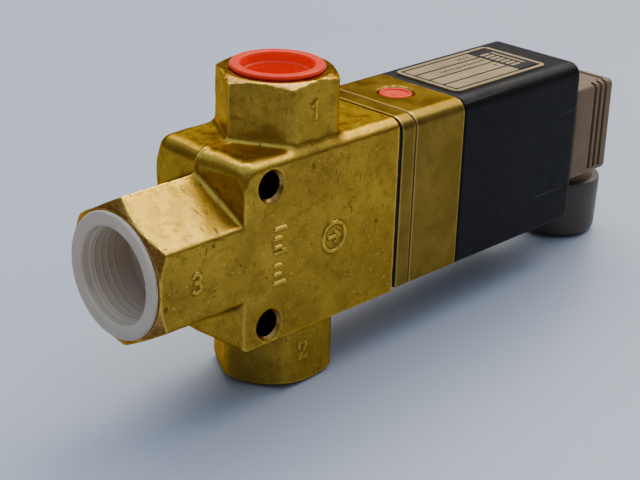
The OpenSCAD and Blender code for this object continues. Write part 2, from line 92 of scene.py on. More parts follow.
HALF_INCH = {"minor": 9.35, "major": 10.5, "pitch": 1.814, "depth": 16.0}
THREE_QUARTER = {"minor": 12.12, "major": 13.25, "pitch": 1.814, "depth": 17.0}
MOUTH_BEVEL = 1.2

FLOOR_PIVOT_X = 13.0
FLOOR_TOUCH_X = GLAND_HIGH[0] - 1.6
FLOOR_SLOPE = GLAND_LOW[2] / (FLOOR_TOUCH_X - FLOOR_PIVOT_X)


# ---------------------------------------------------------------- implicit shapes

def smooth_max(a, b, k):
    """The larger of two distances, with the edge between them rounded over k."""
    h = np.maximum(k - np.abs(a - b), 0.0) / k
    return np.maximum(a, b) + h * h * k * 0.25


def smooth_min(a, b, k):
    """The smaller of two distances, with a fillet of size k."""
    return -smooth_max(-a, -b, k)


def step(low, high, value):
    """A smooth 0 to 1 ramp between low and high."""
    t = np.clip((value - low) / (high - low), 0.0, 1.0)
    return t * t * (3.0 - 2.0 * t)


def rounded_rect(u, v, half_u, half_v, radius):
    """Distance to a rectangle about the origin with corners of that radius."""
    qu = np.abs(u) - half_u + radius
    qv = np.abs(v) - half_v + radius
    outside = np.hypot(np.maximum(qu, 0.0), np.maximum(qv, 0.0))
    return np.minimum(np.maximum(qu, qv), 0.0) + outside - radius


def cuboid(x, y, z, low, high, radius=0.0):
    """Distance to a box between two corners, with all its edges rounded."""
    q = [np.abs(p - (a + b) / 2) - (b - a) / 2 + radius for p, a, b in zip((x, y, z), low, high)]
    outside = np.sqrt(sum(np.maximum(v, 0.0) ** 2 for v in q))
    return np.minimum(np.maximum(np.maximum(q[0], q[1]), q[2]), 0.0) + outside - radius


def rod(along, across, radius, start, end):
    """Distance to a round rod; across is the distance from its axis."""
    return np.maximum(across - radius, np.maximum(start - along, along - end))


def hexagon(u, v, flats):
    """Distance to a hexagon with softened edges, flats facing along u."""
    half = flats / 2
    slant_v = math.sqrt(3) / 2 * v
    sides = [np.abs(u) - half, np.abs(0.5 * u + slant_v) - half, np.abs(0.5 * u - slant_v) - half]
    return smooth_max(smooth_max(sides[0], sides[1], HEX_EDGE), sides[2], HEX_EDGE)


def nose(along, across, flats, length):
    """The turned end of a hexagon: a face at along = 0 and a cone behind it."""
    nose_r = flats / 2 - NOSE_INSET
    corner_r = flats / math.sqrt(3) + 0.1
    slope = (corner_r - nose_r) / length
    cone = (across - nose_r - slope * along) / math.hypot(1.0, slope)
    return smooth_max(cone, -along, 0.2)


def slab(x, y, z, low, high, edge=0.5, under=0.6):
    """A plate across X with the body's outline: round top edges, nearly sharp lower ones."""
    mid = (low[2] + high[2]) / 2
    radius = np.where(z > mid, TOP_EDGE_R, under)
    outline = rounded_rect(y, z - mid, (high[1] - low[1]) / 2, (high[2] - low[2]) / 2, radius)
    return smooth_max(outline, np.maximum(low[0] - x, x - high[0]), edge)


def contour(sdf, low, high, cell):
    """Vertices and quads of the surface where sdf is zero. A vertex in each cell is fitted to the
    surface's own planes there, so that sharp edges stay sharp."""
    low = np.asarray(low, float) - 2.37 * cell
    counts = np.ceil((np.asarray(high, float) - low) / cell).astype(int) + 3
    axes = [low[i] + cell * np.arange(counts[i]) for i in range(3)]
    values = np.empty(counts)
    for first in range(0, counts[0], 12):
        grid = np.meshgrid(axes[0][first:first + 12], axes[1], axes[2], indexing="ij")
        values[first:first + 12] = sdf(*grid)
    inside = values < 0

    unit = np.eye(3, dtype=int)
    strides = np.array([counts[1] * counts[2], counts[2], 1])
    ids, places, normals, quads = [], [], [], []
    for a in range(3):
        b, c = (a + 1) % 3, (a + 2) % 3
        near = [slice(None)] * 3
        far = [slice(None)] * 3
        near[a], far[a] = slice(0, -1), slice(1, None)
        index = np.argwhere(inside[tuple(near)] != inside[tuple(far)])
        start = low + cell * index
        v0 = values[tuple(index.T)]
        v1 = values[tuple((index + unit[a]).T)]
        t0, t1 = np.zeros(len(index)), np.ones(len(index))
        flip = v0 < 0
        w0, w1 = v0.copy(), v1.copy()
        for _ in range(4):
            t = np.clip(t0 + (t1 - t0) * w0 / (w0 - w1), 0.0, 1.0)
            point = start + (cell * t)[:, None] * unit[a]
            value = sdf(*point.T)
            same = (value < 0) == (w0 < 0)
            t0, w0 = np.where(same, t, t0), np.where(same, value, w0)
            t1, w1 = np.where(same, t1, t), np.where(same, w1, value)
        slope = surface_normals(sdf, point)
        ring = [index - unit[b] - unit[c], index - unit[c], index, index - unit[b]]
        cells = np.stack([r @ strides for r in ring], axis=1)
        quads.append(np.where(flip[:, None], cells, cells[:, ::-1]))
        ids.append(cells.ravel())
        places.append(np.repeat(point, 4, axis=0))
        normals.append(np.repeat(slope, 4, axis=0))

    ids, places, normals = np.concatenate(ids), np.concatenate(places), np.concatenate(normals)
    used, which = np.unique(ids, return_inverse=True)
    corner = np.stack([used // strides[0], used % strides[0] // strides[1], used % strides[1]], axis=1)
    centre = low + cell * (corner + 0.5)
    local = places - centre[which]
    count = np.bincount(which).astype(float)
    total = lambda w: np.bincount(which, weights=w, minlength=len(used))
    mean = np.stack([total(local[:, i]) for i in range(3)], axis=1) / count[:, None]
    reach = (normals * local).sum(1)
    left = np.empty((len(used), 3, 3))
    right = np.empty((len(used), 3))
    pull = 0.08
    for i in range(3):
        right[:, i] = total(normals[:, i] * reach) + pull * mean[:, i]
        for j in range(i, 3):
            left[:, i, j] = left[:, j, i] = total(normals[:, i] * normals[:, j]) + (pull if i == j else 0.0)
    fitted = np.linalg.solve(left, right[:, :, None])[:, :, 0]
    vertices = centre + np.clip(fitted, -0.5 * cell, 0.5 * cell)
    faces = np.searchsorted(used, np.concatenate(quads))
    return vertices, faces


def surface_normals(sdf, points, gap=0.02):
    """Unit gradients of sdf at these points."""
    slope = np.empty((len(points), 3))
    for i in range(3):
        shift = np.zeros(3)
        shift[i] = gap
        slope[:, i] = sdf(*(points + shift).T) - sdf(*(points - shift).T)
    return slope / np.maximum(np.linalg.norm(slope, axis=1, keepdims=True), 1e-9)


def link_mesh(name, vertices, faces, smooth_angle=35):
    """A Blender object from vertices in millimetres, smooth except along sharp edges."""
    mesh = bpy.data.meshes.new(name)
    mesh.from_pydata((np.asarray(vertices) * MM).tolist(), [], [list(f) for f in faces])
    mesh.validate()
    mesh.shade_smooth()
    mesh.set_sharp_from_angle(angle=math.radians(smooth_angle))
    piece = bpy.data.objects.new(name, mesh)
    bpy.context.scene.collection.objects.link(piece)
    return piece


def solid(name, sdf, low, high, cell, painted_light_shape=None):
    """A piece from an implicit shape. How far each vertex stands out on an edge or sinks into a hollow of the
    shape given last (sdf by default) is stored as 'edge', from which the brass materials paint highlights on
    edges and shade in hollows.
    """
    cell = cell * 1.0
    vertices, faces = contour(sdf, low, high, cell)
    piece = link_mesh(name, vertices, faces.tolist())
    painted_light_shape = painted_light_shape or sdf
    # The edge score is positive on convex edges and negative in hollows. It drives painted highlights and
    # painted shade, not geometry.
    reach = 0.7
    around = np.zeros(len(vertices))
    for i in range(3):
        for sign in (-reach, reach):
            shift = np.zeros(3)
            shift[i] = sign
            around += painted_light_shape(*(vertices + shift).T)
    store(piece, "edge", np.clip((around - 6 * painted_light_shape(*vertices.T)) / reach, -2.0, 2.0))
    return piece


def store(piece, name, values):
    """A number per vertex, for the material to read."""
    attribute = piece.data.attributes.new(name, "FLOAT", "POINT")
    attribute.data.foreach_set("value", np.asarray(values, np.float32))


def stand_for(piece, node):
    """piece takes a CAD node's place, body and finish."""
    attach(piece, NODE_BODY[node])
    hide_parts(node)
    paint(piece, NODE_SLOT[node])
    return piece


def paint(piece, slot):
    """Gives every face of a piece the material of a slot."""
    piece.data.materials.clear()
    piece.data.materials.append(MATERIALS[slot])


# ---------------------------------------------------------------- turned shapes

def rounded_profile(corners):
    """A closed outline from (radius, height, corner radius) points, with arcs at the corners."""
    outline = []
    points = [np.array(c[:2], float) for c in corners]
    for i, corner in enumerate(corners):
        here, radius = points[i], corner[2] if len(corner) > 2 else 0.0
        if radius <= 0:
            outline.append(here)
            continue
        before, after = points[i - 1] - here, points[(i + 1) % len(points)] - here
        before, after = before / np.linalg.norm(before), after / np.linalg.norm(after)
        half = math.acos(np.clip(before @ after, -1, 1)) / 2
        reach = radius / math.tan(half)
        middle = here + (before + after) / np.linalg.norm(before + after) * radius / math.sin(half)
        start, end = here + before * reach - middle, here + after * reach - middle
        a0, a1 = math.atan2(start[1], start[0]), math.atan2(end[1], end[0])
        turn = (a1 - a0 + math.pi) % (2 * math.pi) - math.pi
        for k in range(5):
            a = a0 + turn * k / 4
            outline.append(middle + radius * np.array([math.cos(a), math.sin(a)]))
    return outline


def lathe(name, corners, centre, direction, segments=128):
    """A solid of revolution about a line through centre along direction, from a closed outline."""
    outline = rounded_profile(corners)
    lift = Vector(direction).to_track_quat("Z", "Y").to_matrix()
    vertices, rings = [], []
    for radius, height in outline:
        if radius < 1e-6:
            rings.append([len(vertices)] * segments)
            vertices.append((0.0, 0.0, height))
            continue
        rings.append(list(range(len(vertices), len(vertices) + segments)))
        for k in range(segments):
            a = 2 * math.pi * k / segments
            vertices.append((radius * math.cos(a), radius * math.sin(a), height))
    faces = []
    for i, ring in enumerate(rings):
        after = rings[(i + 1) % len(rings)]
        if ring[0] == ring[1] and after[0] == after[1]:
            continue
        for k in range(segments):
            m = (k + 1) % segments
            face = list(dict.fromkeys([ring[k], ring[m], after[m], after[k]]))
            faces.append(face)
    placed = [tuple(lift @ Vector(v) + Vector(centre)) for v in vertices]
    piece = link_mesh(name, placed, faces, 40)
    recalculate(piece)
    return piece


def recalculate(piece):
    """Points every face of a closed mesh outwards."""
    work = bmesh.new()
    work.from_mesh(piece.data)
    bmesh.ops.recalc_face_normals(work, faces=work.faces)
    work.to_mesh(piece.data)
    work.free()


def thread_sleeve(name, thread, mouth, direction):
    """The cut thread inside a port: a closed sleeve whose inner wall is a helical groove."""
    turns_per_mm = 1 / thread["pitch"]
    around, rows = 96, int((thread["depth"] - MOUTH_BEVEL) * 9)
    length = thread["depth"] - MOUTH_BEVEL
    depth = thread["major"] - thread["minor"]
    lift = Vector(direction).to_track_quat("Z", "Y").to_matrix()
    vertices, faces = [], []
    for i in range(rows + 1):
        along = length * i / rows
        run_out = min(1.0, along / 1.2, (length - along) / 1.5 + 0.05)
        for k in range(around):
            a = 2 * math.pi * k / around
            phase = (along * turns_per_mm - k / around) % 1.0
            ridge = min(1.0, max(0.0, (0.5 - abs(phase - 0.5)) * 2.5 - 0.12))
            radius = thread["major"] - 0.12 - (depth - 0.12) * ridge * max(run_out, 0.0)
            vertices.append((radius * math.cos(a), radius * math.sin(a), -MOUTH_BEVEL - along))
    for along in (length, 0.0):
        for k in range(around):
            a = 2 * math.pi * k / around
            outer = thread["major"] + 0.06
            vertices.append((outer * math.cos(a), outer * math.sin(a), -MOUTH_BEVEL - along))
    total = rows + 3
    for i in range(total):
        for k in range(around):
            m, j = (k + 1) % around, (i + 1) % total
            faces.append([i * around + k, j * around + k, j * around + m, i * around + m])
    placed = [tuple(lift @ Vector(v) + Vector(mouth)) for v in vertices]
    piece = link_mesh(name, placed, faces, 50)
    recalculate(piece)
    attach(piece, "root")
    paint(piece, "turned_brass")
    return piece


# ---------------------------------------------------------------- materials

class Shader:
    """A procedural material around one Principled shader. Scales count features per metre."""

    def __init__(self, name, **finish):
        self.material = bpy.data.materials.new(name)
        self.material.use_nodes = True
        self.tree = self.material.node_tree
        self.surface = self.tree.nodes["Principled BSDF"]
        self.place = self.tree.nodes.new("ShaderNodeTexCoord").outputs["Object"]
        for socket, value in finish.items():
            self.surface.inputs[socket.replace("_", " ")].default_value = value

    def node(self, kind, result=0, settings=(), **inputs):
        """A new node; inputs are given by name, or by number as in _0."""
        made = self.tree.nodes.new(kind)
        for key, value in dict(settings).items():
            setattr(made, key, value)
        for key, value in inputs.items():
            socket = made.inputs[int(key[1:])] if key[0] == "_" else made.inputs[key.replace("_", " ")]
            if isinstance(value, bpy.types.NodeSocket):
                self.tree.links.new(value, socket)
            else:
                socket.default_value = value
        return made.outputs[result]

    def noise(self, scale, detail=4.0, rough=0.55, stretch=(1, 1, 1), turn=(0, 0, 0), warp=0.0):
        place = self.node("ShaderNodeMapping", Vector=self.place, Scale=stretch, Rotation=turn)
        return self.node("ShaderNodeTexNoise", Vector=place, Scale=scale, Detail=detail,
                         Roughness=rough, Distortion=warp)

    def cells(self, scale):
        return self.node("ShaderNodeTexVoronoi", Vector=self.place, Scale=scale)

    def ramp(self, value, low, high, out_low=0.0, out_high=1.0):
        """A smooth change from out_low to out_high while value goes from low to high."""
        return self.node("ShaderNodeMapRange", settings={"interpolation_type": "SMOOTHSTEP"},
                         _0=value, _1=low, _2=high, _3=out_low, _4=out_high)

    def mix(self, amount, a, b):
        return self.node("ShaderNodeMix", result=2, settings={"data_type": "RGBA"}, _0=amount, _6=a, _7=b)

    def maths(self, operation, a, b=0.0):
        return self.node("ShaderNodeMath", settings={"operation": operation}, _0=a, _1=b)

    def stored(self, name):
        """A number kept at the piece's vertices, or 0 where there is none."""
        return self.node("ShaderNodeAttribute", result=2, settings={"attribute_name": name})

    def bump(self, height, strength, distance, under=None):
        inputs = {"Height": height, "Strength": strength, "Distance": distance}
        if under is not None:
            inputs["Normal"] = under
        return self.node("ShaderNodeBump", **inputs)

    def set(self, **sockets):
        for key, value in sockets.items():
            socket = self.surface.inputs[key.replace("_", " ")]
            self.tree.links.new(value, socket)
        return self.material


def rgb(red, green, blue):
    return (red, green, blue, 1.0)


def cast_brass():
    """Forged brass: mottled gold and olive, fine grime, pits, scratches, brown stains, turned faces, painted
    highlights along edges and painted shade in hollows.
    """
    s = Shader("cast_brass", Metallic=1.0, Specular_Tint=rgb(0.95, 0.64, 0.22))
    patches = s.noise(50, 5, 0.6, warp=0.6)
    mottle = s.noise(420, 6, 0.68)
    grain = s.noise(3000, 5, 0.75)
    colour = s.mix(s.ramp(patches, 0.35, 0.68), rgb(0.34, 0.200, 0.026), rgb(0.50, 0.305, 0.036))
    colour = s.mix(s.ramp(mottle, 0.49, 0.69, 0.0, 0.5), colour, rgb(0.20, 0.115, 0.020))
    colour = s.mix(s.ramp(grain, 0.50, 0.67, 0.0, 0.55), colour, rgb(0.14, 0.085, 0.015))
    stain = s.maths("MULTIPLY", s.ramp(s.noise(120, 6, 0.7, warp=1.2), 0.56, 0.70), 0.55)
    colour = s.mix(stain, colour, rgb(0.22, 0.105, 0.02))
    edge = s.stored("edge")
    # Painted highlight: bright gold along convex edges.
    colour = s.mix(s.ramp(edge, 0.3, 1.1, 0.0, 0.55), colour, rgb(0.84, 0.55, 0.08))
    # Painted shade: dark brown in concave creases and fillets.
    painted_hollow_shade = s.ramp(edge, -1.1, -0.3, 0.75, 0.0)
    colour = s.mix(painted_hollow_shade, colour, rgb(0.16, 0.085, 0.015))
    pit_zone = s.ramp(s.noise(110, 4, 0.6), 0.52, 0.66)
    pits = s.maths("MULTIPLY", s.ramp(s.cells(640), 0.06, 0.20, 1.0, 0.0), pit_zone)
    colour = s.mix(s.maths("MULTIPLY", pits, 0.85), colour, rgb(0.05, 0.03, 0.01))
    dashes = s.ramp(s.noise(300, 2, 0.4, (1, 5, 1), (0.3, 0.2, 0.5)), 0.72, 0.77)
    nicks = s.ramp(s.noise(260, 2, 0.4, (5, 1, 1), (0.1, 0.7, 0.2)), 0.71, 0.76)
    scores = s.maths("MAXIMUM", dashes, nicks)
    rubs = s.ramp(s.noise(900, 2, 0.4, (1, 7, 2), (0.5, 0.1, 0.9)), 0.68, 0.74)
    colour = s.mix(s.maths("MULTIPLY", scores, 0.7), colour, rgb(0.10, 0.05, 0.015))
    colour = s.mix(s.maths("MULTIPLY", rubs, 0.5), colour, rgb(0.80, 0.56, 0.16))
    turned = s.stored("turned")
    rings = s.noise(700, 3, 0.6, (1, 1, 8))
    bright = s.mix(s.ramp(rings, 0.3, 0.7), rgb(0.30, 0.145, 0.035), rgb(0.46, 0.26, 0.07))
    tinted = s.mix(s.ramp(s.noise(160, 5, 0.6), 0.42, 0.62, 0.0, 0.8), bright, rgb(0.15, 0.06, 0.015))
    # Turned faces also get a painted highlight of bright brass along their edges.
    colour = s.mix(turned, colour, s.mix(s.ramp(edge, 0.5, 1.3, 0.0, 0.7), tinted, rgb(0.80, 0.50, 0.16)))
    rough = s.ramp(mottle, 0.3, 0.75, 0.22, 0.44)
    rough = s.maths("ADD", rough, s.maths("MULTIPLY", pits, 0.2))
    rough = s.maths("SUBTRACT", rough, s.maths("MULTIPLY", turned, 0.08))
    skin = s.bump(s.noise(700, 5, 0.65), 0.35, 0.00010)
    skin = s.bump(grain, 0.35, 0.00005, skin)
    dents = s.maths("MAXIMUM", pits, scores)
    skin = s.bump(s.maths("SUBTRACT", 1.0, dents), 0.8, 0.00012, skin)
    return s.set(Base_Color=colour, Roughness=rough, Normal=skin)


def plate_brass():
    """Satin brass plates: finer and darker than the forging, with small dark flecks and a painted highlight
    along their edges.
    """
    s = Shader("plate_brass", Metallic=1.0, Specular_Tint=rgb(0.80, 0.54, 0.20))
    patches = s.noise(90, 5, 0.6, warp=0.4)
    colour = s.mix(s.ramp(patches, 0.35, 0.68), rgb(0.18, 0.115, 0.026), rgb(0.27, 0.175, 0.038))
    colour = s.mix(s.ramp(s.noise(900, 5, 0.65), 0.5, 0.7, 0.0, 0.5), colour, rgb(0.17, 0.11, 0.022))
    fleck_zone = s.ramp(s.noise(200, 3, 0.6), 0.50, 0.60)
    flecks = s.maths("MULTIPLY", s.ramp(s.cells(900), 0.06, 0.16, 1.0, 0.0), fleck_zone)
    colour = s.mix(s.maths("MULTIPLY", flecks, 0.8), colour, rgb(0.05, 0.03, 0.01))
    # Painted highlight: lighter brass along the plate edges.
    colour = s.mix(s.ramp(s.stored("edge"), 0.5, 1.3, 0.0, 0.4), colour, rgb(0.78, 0.56, 0.14))
    rough = s.ramp(patches, 0.3, 0.7, 0.28, 0.38)
    brushed = s.bump(s.noise(500, 3, 0.6, (8, 1, 1)), 0.12, 0.00005)
    skin = s.bump(s.noise(1800, 4, 0.6), 0.25, 0.00005, brushed)
    return s.set(Base_Color=colour, Roughness=rough, Normal=skin)


def turned_metal(name, dull, bright, low=0.18, high=0.34):
    """Turned metal: fine rings, a little tarnish."""
    s = Shader(name, Metallic=1.0)
    lines = s.noise(900, 3, 0.6, (6, 1, 1))
    tarnish = s.noise(260, 5, 0.6)
    colour = s.mix(s.ramp(tarnish, 0.35, 0.7), bright, dull)
    rough = s.ramp(lines, 0.3, 0.7, low, high)
    return s.set(Base_Color=colour, Roughness=rough, Normal=s.bump(lines, 0.15, 0.00004))


def coil_plastic():
    """Black satin moulding: faint orange peel, a few fine scratches, pale dust specks in patches."""
    s = Shader("coil_plastic", Specular_IOR_Level=0.10)
    clouds = s.noise(45, 4, 0.6)
    colour = s.mix(s.ramp(clouds, 0.3, 0.7), rgb(0.0045, 0.0036, 0.0036), rgb(0.0075, 0.006, 0.006))
    scratch = s.ramp(s.noise(60, 1, 0.3, (1, 14, 14), (0, 0.12, 0.2)), 0.735, 0.75)
    colour = s.mix(s.maths("MULTIPLY", scratch, 0.35), colour, rgb(0.07, 0.065, 0.06))
    specks = s.maths("MULTIPLY", s.ramp(s.cells(700), 0.03, 0.07, 1.0, 0.0), s.ramp(clouds, 0.5, 0.6))
    colour = s.mix(s.maths("MULTIPLY", specks, 0.5), colour, rgb(0.16, 0.14, 0.12))
    rough = s.ramp(s.noise(300, 4, 0.6), 0.3, 0.7, 0.36, 0.48)
    skin = s.bump(s.noise(1100, 3, 0.5), 0.12, 0.00005)
    return s.set(Base_Color=colour, Roughness=rough, Normal=skin)


def moulded(name, base, shade, rough_low=0.42, rough_high=0.56, **finish):
    """Fine-grained moulded plastic."""
    s = Shader(name, **finish)
    clouds = s.noise(80, 5, 0.6)
    colour = s.mix(s.ramp(clouds, 0.35, 0.7), base, shade)
    dirt = s.maths("MULTIPLY", s.ramp(s.noise(600, 4, 0.6), 0.60, 0.74), 0.25)
    colour = s.mix(dirt, colour, rgb(*(0.4 * c for c in shade[:3])))
    rough = s.ramp(s.noise(500, 4, 0.6), 0.3, 0.7, rough_low, rough_high)
    return s.set(Base_Color=colour, Roughness=rough, Normal=s.bump(s.noise(2600, 3, 0.6), 0.18, 0.00004))


def red_plastic():
    """Glossy orange-red polythene that glows a little where it is thin."""
    s = Shader("red_plastic", Subsurface_Weight=0.35, Subsurface_Radius=(0.004, 0.0012, 0.0006),
               Subsurface_Scale=0.5, Specular_IOR_Level=0.22)
    clouds = s.noise(150, 4, 0.6)
    colour = s.mix(s.ramp(clouds, 0.35, 0.7), rgb(0.98, 0.040, 0.0010), rgb(0.92, 0.030, 0.0008))
    rough = s.ramp(s.noise(700, 4, 0.6), 0.3, 0.7, 0.26, 0.38)
    return s.set(Base_Color=colour, Roughness=rough, Normal=s.bump(s.noise(900, 3, 0.6), 0.15, 0.00006))


def milky_plastic():
    """Translucent polythene: light passes, shapes behind it blur."""
    s = Shader("milky_plastic", Transmission_Weight=0.55, IOR=1.2, Subsurface_Weight=0.4,
               Subsurface_Radius=(0.006, 0.005, 0.0045), Subsurface_Scale=0.5, Specular_IOR_Level=0.6)
    clouds = s.noise(120, 4, 0.6)
    colour = s.mix(s.ramp(clouds, 0.35, 0.7), rgb(0.96, 0.81, 0.63), rgb(0.98, 0.86, 0.71))
    rough = s.ramp(s.noise(500, 4, 0.6), 0.3, 0.7, 0.16, 0.24)
    return s.set(Base_Color=colour, Roughness=rough, Normal=s.bump(s.noise(500, 2, 0.5), 0.1, 0.00002))


def rubber():
    """Matte black rubber with a dusty bloom."""
    s = Shader("black_rubber", Specular_IOR_Level=0.2)
    colour = s.mix(s.ramp(s.noise(300, 5, 0.6), 0.4, 0.7), rgb(0.012, 0.012, 0.012), rgb(0.03, 0.028, 0.026))
    rough = s.ramp(s.noise(900, 4, 0.6), 0.3, 0.7, 0.6, 0.8)
    return s.set(Base_Color=colour, Roughness=rough, Normal=s.bump(s.noise(1500, 4, 0.6), 0.3, 0.00006))


def printed_foil():
    """Brushed champagne foil with a little haze."""
    s = Shader("nameplate_foil", Metallic=0.6)
    brushed = s.noise(500, 3, 0.6, (1, 12, 1))
    colour = s.mix(s.ramp(s.noise(120, 4, 0.6), 0.35, 0.7), rgb(0.36, 0.25, 0.12), rgb(0.45, 0.32, 0.16))
    rough = s.ramp(brushed, 0.3, 0.7, 0.30, 0.44)
    return s.set(Base_Color=colour, Roughness=rough, Normal=s.bump(brushed, 0.15, 0.00003))


MATERIALS = {
    "forged_brass": cast_brass(),
    "plate_brass": plate_brass(),
    "turned_brass": turned_metal("turned_brass", rgb(0.60, 0.40, 0.14), rgb(0.88, 0.69, 0.34)),
    "stainless": turned_metal("stainless", rgb(0.52, 0.52, 0.53), rgb(0.74, 0.75, 0.77)),
    "spring_steel": turned_metal("spring_steel", rgb(0.42, 0.42, 0.44), rgb(0.62, 0.63, 0.65)),
    "magnet_iron": turned_metal("magnet_iron", rgb(0.36, 0.36, 0.37), rgb(0.52, 0.52, 0.54), 0.3, 0.5),
    "copper": turned_metal("copper", rgb(0.46, 0.18, 0.08), rgb(0.80, 0.38, 0.20), 0.25, 0.4),
    "black_rubber": rubber(),
    "fibre_gasket": moulded("fibre_gasket", rgb(0.16, 0.085, 0.04), rgb(0.10, 0.05, 0.025), 0.6, 0.8),
    "bobbin_plastic": moulded("bobbin_plastic", rgb(0.70, 0.68, 0.60), rgb(0.60, 0.58, 0.50)),
    "coil_plastic": coil_plastic(),
    "nameplate_foil": printed_foil(),
    "cream_gasket": moulded("cream_gasket", rgb(0.72, 0.62, 0.38), rgb(0.60, 0.50, 0.30), 0.45, 0.6),
    "plug_plastic": moulded("plug_plastic", rgb(0.20, 0.125, 0.060), rgb(0.165, 0.104, 0.052),
                            0.42, 0.54, Specular_IOR_Level=0.22),
    "gland_plastic": moulded("gland_plastic", rgb(0.085, 0.060, 0.045), rgb(0.065, 0.047, 0.036),
                             0.34, 0.46, Specular_IOR_Level=0.3),
    "red_plastic": red_plastic(),
    "milky_plastic": milky_plastic(),
}
for cad_node, cad_piece in NODES.items():
    paint(cad_piece, NODE_SLOT[cad_node])


# ---------------------------------------------------------------- the valve body

P_MOUTH, AB_MOUTH, R_MOUTH = mount_mm("port_p")[2], mount_mm("port_ab")[2], mount_mm("port_r")[0]
HOLE_X = mount_mm("mounting_holes")[0]
HOLE_STEP = MOUNTS["mounting_holes"]["dims"]["spacing_y_mm"] / 2
HOLE_R = MOUNTS["mounting_holes"]["dims"]["hole_r_mm"]
PASSAGE_R, PASSAGE_X = 3.9, 5.0
R_PASSAGE_R, A_CHAMBER_R, SEAT_R, P_CHAMBER_R, PISTON_BORE_R = 11.0, 9.5, 6.0, 8.0, 13.0
SCREW_Y, SCREW_HEIGHTS = 11.5, (19.1, -16.8)
SCREW_HOLE_R, SCREW_CLEARANCE_R, SCREW_HEAD_R = 2.05, 2.2, 3.7
HOLE_BEVEL = 0.9
MARK_HEIGHT = 0.33
SIDE_Y = HALF_W - 0.4
STROKE = 0.95
SCALE_BARS = [(6.4, 1.7), (4.1, 0.3), (1.8, 0.3), (0.5, 1.7), (-2.8, 0.3), (-5.1, 0.3), (-7.4, 1.7)]


def segment(u, v, start, end):
    """Distance in a plane to a straight stroke."""
    du, dv = end[0] - start[0], end[1] - start[1]
    t = np.clip(((u - start[0]) * du + (v - start[1]) * dv) / (du * du + dv * dv), 0.0, 1.0)
    return np.hypot(u - start[0] - t * du, v - start[1] - t * dv)


def bow(u, v, centre, radius, facing, spread):
    """Distance in a plane to an arc about centre, spread degrees to each side of facing."""
    du, dv = u - centre[0], v - centre[1]
    away = np.arctan2(dv, du) - math.radians(facing)
    away = (away + math.pi) % (2 * math.pi) - math.pi
    limit = math.radians(spread)
    held = np.clip(away, -limit, limit) + math.radians(facing)
    return np.hypot(du - radius * np.cos(held), dv - radius * np.sin(held))


def digit_one(u, v):
    return np.minimum(segment(u, v, (0.3, -2.1), (0.3, 2.1)), segment(u, v, (0.3, 2.1), (-0.9, 1.1)))


def digit_two(u, v):
    top = bow(u, v, (0.0, 1.0), 1.15, 70, 115)
    slant = segment(u, v, (1.0, 0.5), (-1.2, -2.1))
    return np.minimum(np.minimum(top, slant), segment(u, v, (-1.2, -2.1), (1.3, -2.1)))


def digit_three(u, v):
    return np.minimum(bow(u, v, (0.0, 1.1), 1.1, 25, 125), bow(u, v, (0.0, -1.1), 1.2, -20, 128))


def raised_marks(x, y, z):
    """Port numbers, a scale of plain bars, and a flow arrow in a ring, raised from the near faces."""
    c = z - AXIS_Z
    u, v = x - 5.0, c + 0.7
    side = [
        digit_three(x + 38.5, c - 0.2),
        np.abs(np.hypot(u, v) - 3.7),
        segment(u, v, (-1.7, 0.0), (1.7, 0.0)),
        segment(u, v, (1.7, 0.0), (0.4, 1.3)),
        segment(u, v, (1.7, 0.0), (0.4, -1.3)),
    ]
    for height, end in SCALE_BARS:
        side.append(segment(x + 13.0, c - height, (-1.7, 0.0), (end, 0.0)))
    flat = [digit_one(x + 0.6, c - 32.0), digit_two(x + 2.5, c + 29.5)]
    marks = []
    for strokes, face in ((side, SIDE_Y), (flat, SMALL_HEX / 2)):
        nearest = strokes[0]
        for stroke in strokes[1:]:
            nearest = np.minimum(nearest, stroke)
        depth = np.abs(y + face) - MARK_HEIGHT
        marks.append(smooth_max(nearest - STROKE / 2, depth, 0.3))
    return np.minimum(marks[0], marks[1])


def body_cast(x, y, z):
    """The forged shape, before any machining."""
    c = z - AXIS_Z
    away = np.abs(y)
    mid = (BODY_UNDER + TOP_Z) / 2
    radius = np.where(z > mid, TOP_EDGE_R, 0.8)
    block = rounded_rect(y, z - mid, HALF_W, (TOP_Z - BODY_UNDER) / 2, radius)
    front = FRONT_X - x + FRONT_DRAFT * away
    corner = 1.6 + 2.6 * step(TOP_Z - 7, TOP_Z - 2, z)
    block = smooth_max(block, front, corner)
    block = smooth_max(block, x - BODY_HIGH[0], 0.4)

    r_boss = np.maximum(hexagon(y, c, LARGE_HEX), x + 10)
    p_boss = np.maximum(hexagon(y, x, SMALL_HEX), -c)
    ab_boss = np.maximum(hexagon(y, x, SMALL_HEX), c)
    flush = 1.7 * (1 - step(HALF_W - 2.6, HALF_W - 0.3, away)) + 0.02
    shape = smooth_min(block, r_boss, flush)
    shape = smooth_min(shape, p_boss, 2.0)
    shape = smooth_min(shape, ab_boss, 2.0)
    parting_line = np.exp(-(y / 0.42) ** 2) * step(-8.0, -13.0, x) * step(AXIS_Z + 15, AXIS_Z + 18, z)
    shape = shape - 0.3 * parting_line
    ripple = np.sin(0.55 * x + 0.31 * z) * np.cos(0.42 * z - 0.5 * y) + np.sin(0.9 * x - 0.8 * z)
    shape = shape + 0.035 * ripple
    shape = smooth_max(shape, away - SIDE_Y, 0.3)
    marked = (y < -SMALL_HEX / 2 + 1.2) & (y > -HALF_W - 1.0)
    if marked.any():
        there = (x[marked], y[marked], z[marked])
        shape[marked] = smooth_min(shape[marked], raised_marks(*there), 0.35)
    return shape


def screw_distances(y, z):
    """Distance to the axis of each of the four cap screws."""
    sides = (-SCREW_Y, SCREW_Y)
    return [np.hypot(y - side, z - AXIS_Z - height) for side in sides for height in SCREW_HEIGHTS]


def port_bore(along, across, thread, mouth_r):
    """A threaded port: the bore that takes the thread sleeve, and its bevelled mouth."""
    bore = rod(along, across, thread["major"], -1.0, thread["depth"])
    bevel = (across - mouth_r + along) * math.sqrt(0.5)
    return np.minimum(bore, np.maximum(bevel, np.maximum(-1.0 - along, along - MOUTH_BEVEL - 0.5)))


